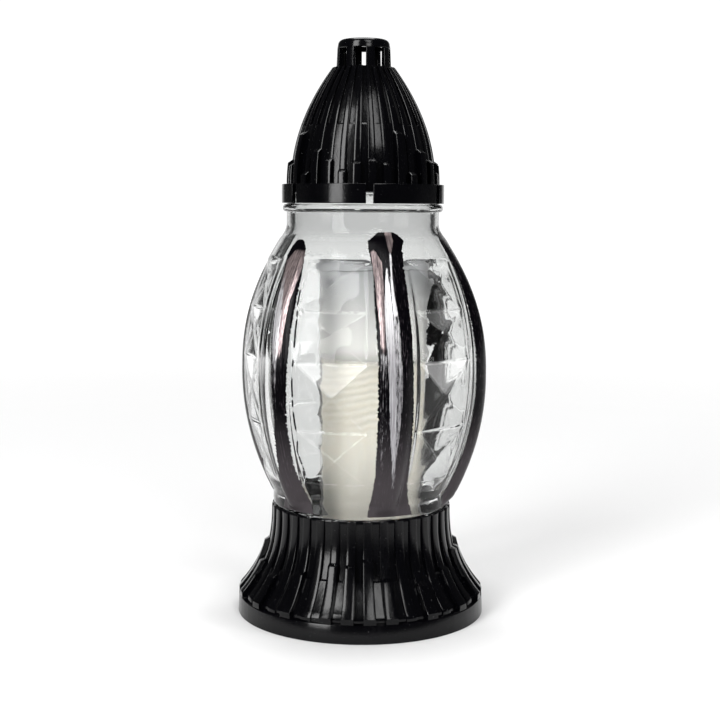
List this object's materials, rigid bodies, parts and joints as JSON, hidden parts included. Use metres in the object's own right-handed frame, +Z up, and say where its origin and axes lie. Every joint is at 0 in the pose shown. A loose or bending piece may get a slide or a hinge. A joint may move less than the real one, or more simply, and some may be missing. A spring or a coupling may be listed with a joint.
{
  "type": "grave lantern",
  "caption": "Grave lantern with a ribbed black base, a barrel-shaped pressed glass jar with dark painted ribs, a slotted ribbed lid and a loose candle insert",
  "frame": {"origin": "on the ground, under the middle of the base", "axes": "+Z up along the lantern's axis, the pictured side faces -Y, +X to the right in the picture"},
  "size_m": [0.1132, 0.1132, 0.2592],
  "materials": {
    "black_plastic": "glossy black moulded plastic",
    "clear_glass": "clear pressed glass, ribs painted glossy black with a copper tinge",
    "tinplate": "bright thin tinplate",
    "cup_plastic": "thin frosted milky plastic",
    "paraffin_wax": "cream candle wax, soft sheen",
    "wick_cotton": "braided cotton"
  },
  "bodies": {
    "lantern": {"base": "black_plastic", "glass_jar": "clear_glass"},
    "lid": {"lid_cap": "black_plastic", "heat_shield": "tinplate"},
    "candle": {"candle_cup": "cup_plastic", "candle_wax": "paraffin_wax", "wick_sustainer": "tinplate", "wick": "wick_cotton"}
  },
  "joints": [
    {"name": "lid_lift", "type": "slide", "parent": "lantern", "child": "lid", "axis": [0, 0, 1], "range_m": [0, 0.38]},
    {"name": "candle_lift", "type": "slide", "parent": "lantern", "child": "candle", "axis": [0, 0, 1], "range_m": [0, 0.19]}
  ],
  "couplings": [
    {"joint": "candle_lift", "follows": "lid_lift", "ratio": 0.5}
  ]
}
